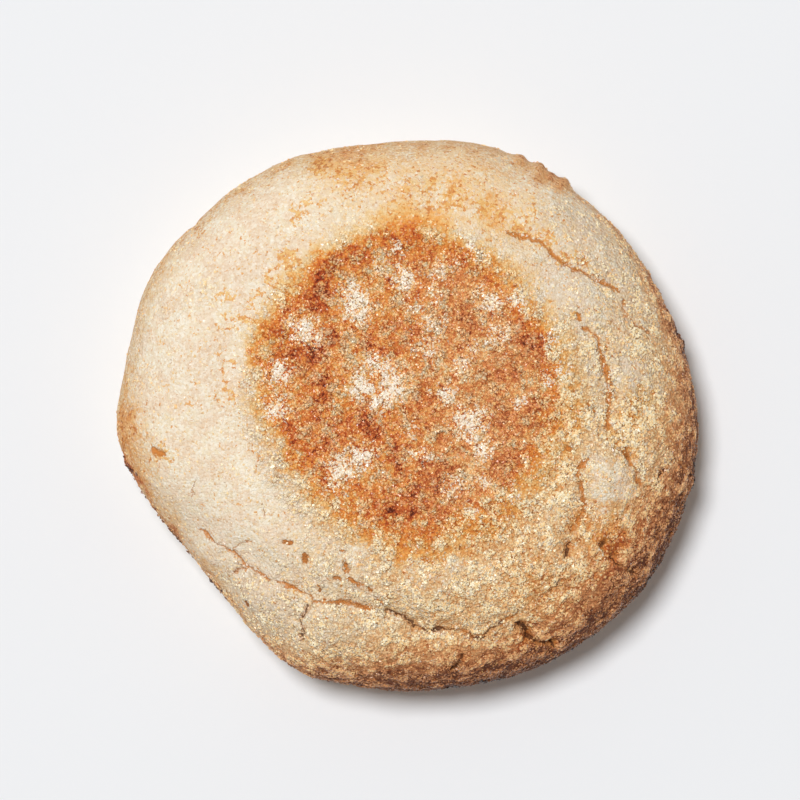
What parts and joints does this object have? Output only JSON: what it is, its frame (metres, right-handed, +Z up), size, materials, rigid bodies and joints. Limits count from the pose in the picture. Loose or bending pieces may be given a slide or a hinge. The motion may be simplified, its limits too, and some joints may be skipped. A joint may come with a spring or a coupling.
{
  "type": "english muffin",
  "caption": "Round hand-shaped English muffin, uncut: wide flat griddled underside, domed floury shoulder and a browned flat spot on top.",
  "frame": {"origin": "on the surface the muffin rests on, under the middle of its outline's box", "axes": "+Z up, +X to the right and +Y away as the muffin is looked down on, with the browned spot up"},
  "size_m": [0.1046, 0.0992, 0.0297],
  "materials": {
    "baked_crust": "dry, floury baked crust, browned where the griddle touched it"
  },
  "bodies": {
    "root": {"english_muffin": "baked_crust"}
  },
  "joints": []
}
